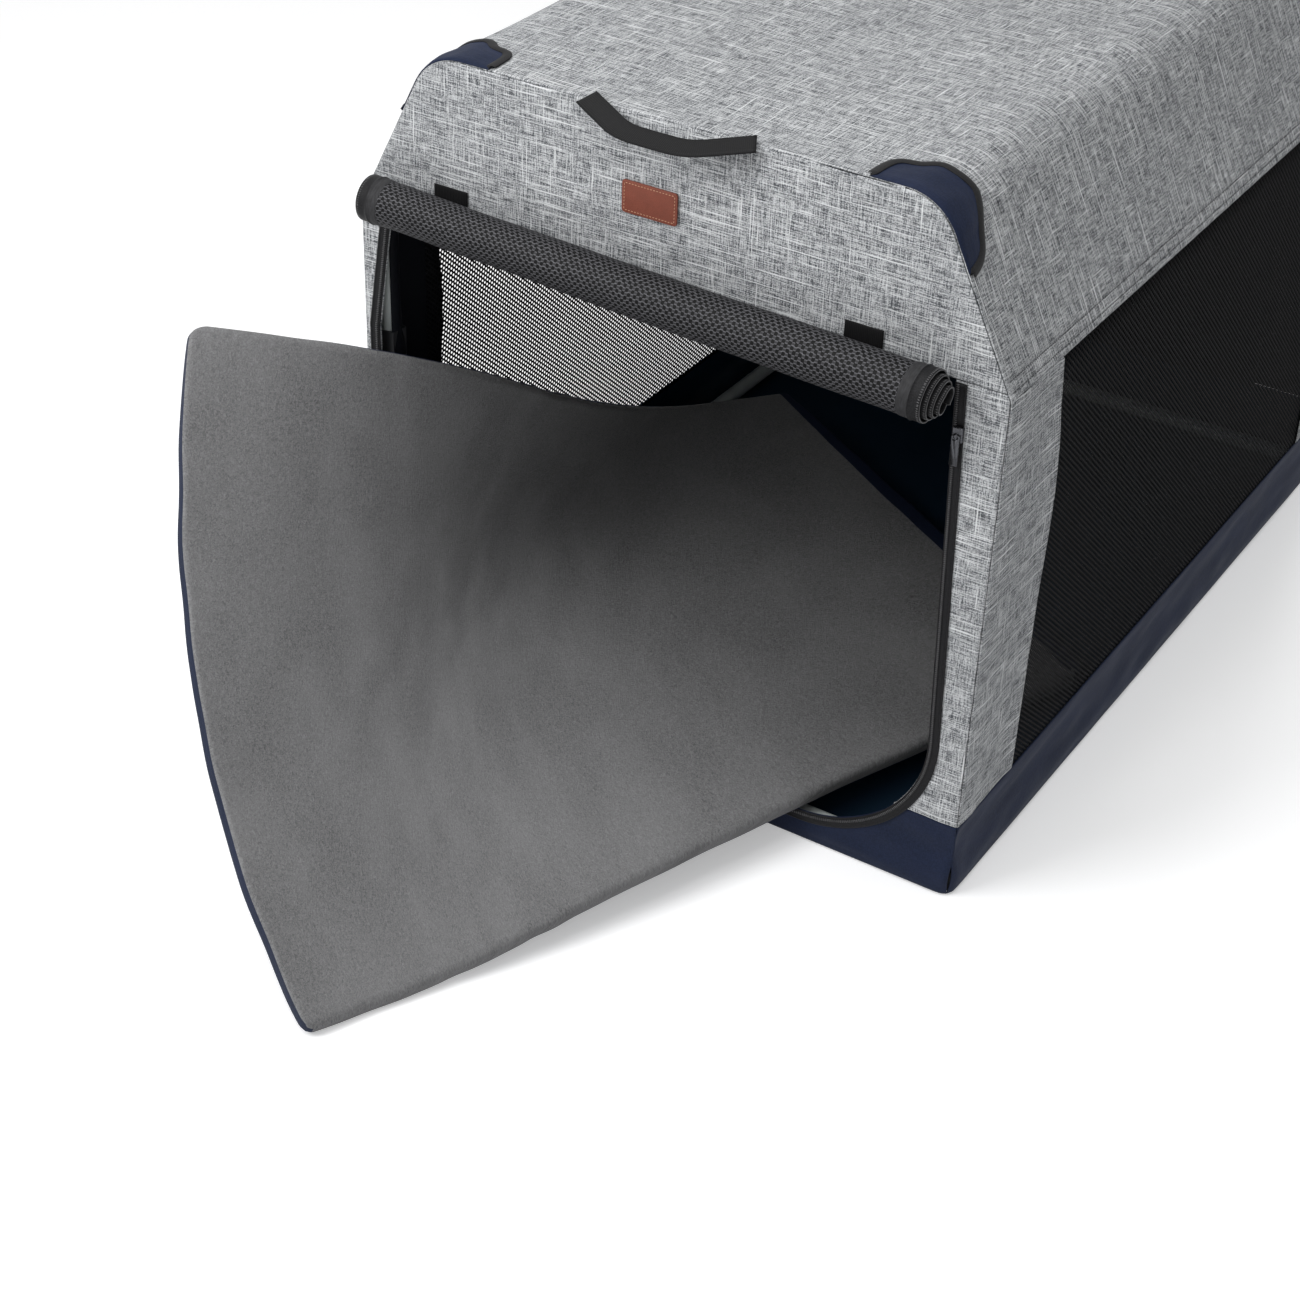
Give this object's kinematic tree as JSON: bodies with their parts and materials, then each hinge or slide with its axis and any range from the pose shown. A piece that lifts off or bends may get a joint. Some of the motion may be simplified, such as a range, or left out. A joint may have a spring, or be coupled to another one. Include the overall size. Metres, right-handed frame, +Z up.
{
  "type": "folding dog crate",
  "caption": "Soft-sided folding dog crate: steel tube frame with kneed legs, fabric cover with mesh windows, rolled-up door, and a fleece mat pulled out of the door.",
  "frame": {"origin": "on the floor under the middle of the crate's floor panel", "axes": "+Z up, -Y out of the front, where the door is, +X to the right of someone who looks at the front"},
  "size_m": [0.694, 1.3612, 0.6388],
  "materials": {
    "grey_oxford": "melange woven oxford, matt",
    "navy_oxford": "coated oxford, matt",
    "black_mesh": "knitted air mesh",
    "black_tape": "woven tape and webbing",
    "fleece": "short-pile fleece",
    "leather": "imitation leather, stitched border",
    "grey_steel": "grey powder coat",
    "black_plastic": "moulded, fine texture",
    "nickel": "dark nickel plate",
    "pin_steel": "bright steel"
  },
  "bodies": {
    "base": {"floor_panel": "navy_oxford", "band_left": "navy_oxford", "band_right": "navy_oxford", "band_rear": "navy_oxford", "band_front": "navy_oxford", "front_panel": "grey_oxford", "rear_panel": "grey_oxford", "side_panel_left": "grey_oxford", "side_panel_right": "grey_oxford", "roof_slope_left": "grey_oxford", "roof_slope_right": "grey_oxford", "roof_top": "grey_oxford", "rear_window": "black_mesh", "side_window_left": "black_mesh", "side_window_right": "black_mesh", "door_roll": "black_mesh", "leather_label": "leather", "mat": "fleece", "door_zip_tape": "black_tape", "roll_strap_left": "black_tape", "roll_strap_right": "black_tape", "base_rail_front": "grey_steel", "base_rail_rear": "grey_steel", "base_rail_left": "grey_steel", "base_rail_right": "grey_steel", "corner_bracket_front_left": "black_plastic", "corner_bracket_front_right": "black_plastic", "corner_bracket_rear_left": "black_plastic", "corner_bracket_rear_right": "black_plastic", "leg_pin_front_left": "pin_steel", "leg_pin_front_right": "pin_steel", "leg_pin_rear_left": "pin_steel", "leg_pin_rear_right": "pin_steel"},
    "front_legs": {"leg_front_left": "grey_steel", "leg_front_right": "grey_steel", "knee_lower_front_left": "black_plastic", "knee_lower_front_right": "black_plastic", "knee_pin_front_left": "pin_steel", "knee_pin_front_right": "pin_steel"},
    "front_hoop": {"hoop_front": "grey_steel", "knee_upper_front_left": "black_plastic", "knee_upper_front_right": "black_plastic"},
    "top_rails": {"top_rail_left": "grey_steel", "top_rail_right": "grey_steel", "rail_sleeve_front_left": "black_plastic", "rail_sleeve_front_right": "black_plastic", "rail_sleeve_rear_left": "black_plastic", "rail_sleeve_rear_right": "black_plastic"},
    "rear_legs": {"leg_rear_left": "grey_steel", "leg_rear_right": "grey_steel", "knee_lower_rear_left": "black_plastic", "knee_lower_rear_right": "black_plastic", "knee_pin_rear_left": "pin_steel", "knee_pin_rear_right": "pin_steel"},
    "rear_hoop": {"hoop_rear": "grey_steel", "knee_upper_rear_left": "black_plastic", "knee_upper_rear_right": "black_plastic"},
    "handle": {"handle": "black_tape"},
    "zip_slider": {"zip_slider": "nickel"},
    "zip_pull": {"zip_pull": "nickel"}
  },
  "joints": [
    {"name": "frame_fold", "type": "hinge", "parent": "base", "child": "front_legs", "pos_m": [0, -0.4355, 0.032], "axis": [-1, 0, 0], "range_deg": [0, 90], "deforming": ["band_left", "band_right", "band_rear", "band_front", "front_panel", "rear_panel", "side_panel_left", "side_panel_right", "roof_slope_left", "roof_slope_right", "roof_top", "rear_window", "side_window_left", "side_window_right", "door_roll", "leather_label", "mat", "door_zip_tape", "roll_strap_left", "roll_strap_right"]},
    {"name": "front_knee", "type": "hinge", "parent": "front_legs", "child": "front_hoop", "pos_m": [0, -0.4455, 0.32725], "axis": [-1, 0, 0], "range_deg": [-180, 0]},
    {"name": "front_top_pivot", "type": "hinge", "parent": "front_hoop", "child": "top_rails", "pos_m": [0, -0.4355, 0.6225], "axis": [-1, 0, 0], "range_deg": [0, 90]},
    {"name": "rear_leg_pivot", "type": "hinge", "parent": "base", "child": "rear_legs", "pos_m": [0, 0.4355, 0.032], "axis": [-1, 0, 0], "range_deg": [-90, 0]},
    {"name": "rear_knee", "type": "hinge", "parent": "rear_legs", "child": "rear_hoop", "pos_m": [0, 0.4455, 0.32725], "axis": [-1, 0, 0], "range_deg": [0, 180]},
    {"name": "handle_swing", "type": "hinge", "parent": "top_rails", "child": "handle", "pos_m": [0, -0.4565, 0.6375], "axis": [-1, 0, 0], "range_deg": [-70, 200]},
    {"name": "slider_travel", "type": "slide", "parent": "base", "child": "zip_slider", "axis": [0.0363, 0, -0.9993], "range_m": [0, 0.28]},
    {"name": "pull_swing", "type": "hinge", "parent": "zip_slider", "child": "zip_pull", "pos_m": [0.27082, -0.463, 0.45], "axis": [-1, 0, 0], "range_deg": [0, 150]}
  ],
  "couplings": [
    {"joint": "front_knee", "follows": "frame_fold", "ratio": -2},
    {"joint": "front_top_pivot", "follows": "frame_fold", "ratio": 1},
    {"joint": "rear_leg_pivot", "follows": "frame_fold", "ratio": -1},
    {"joint": "rear_knee", "follows": "frame_fold", "ratio": 2}
  ]
}
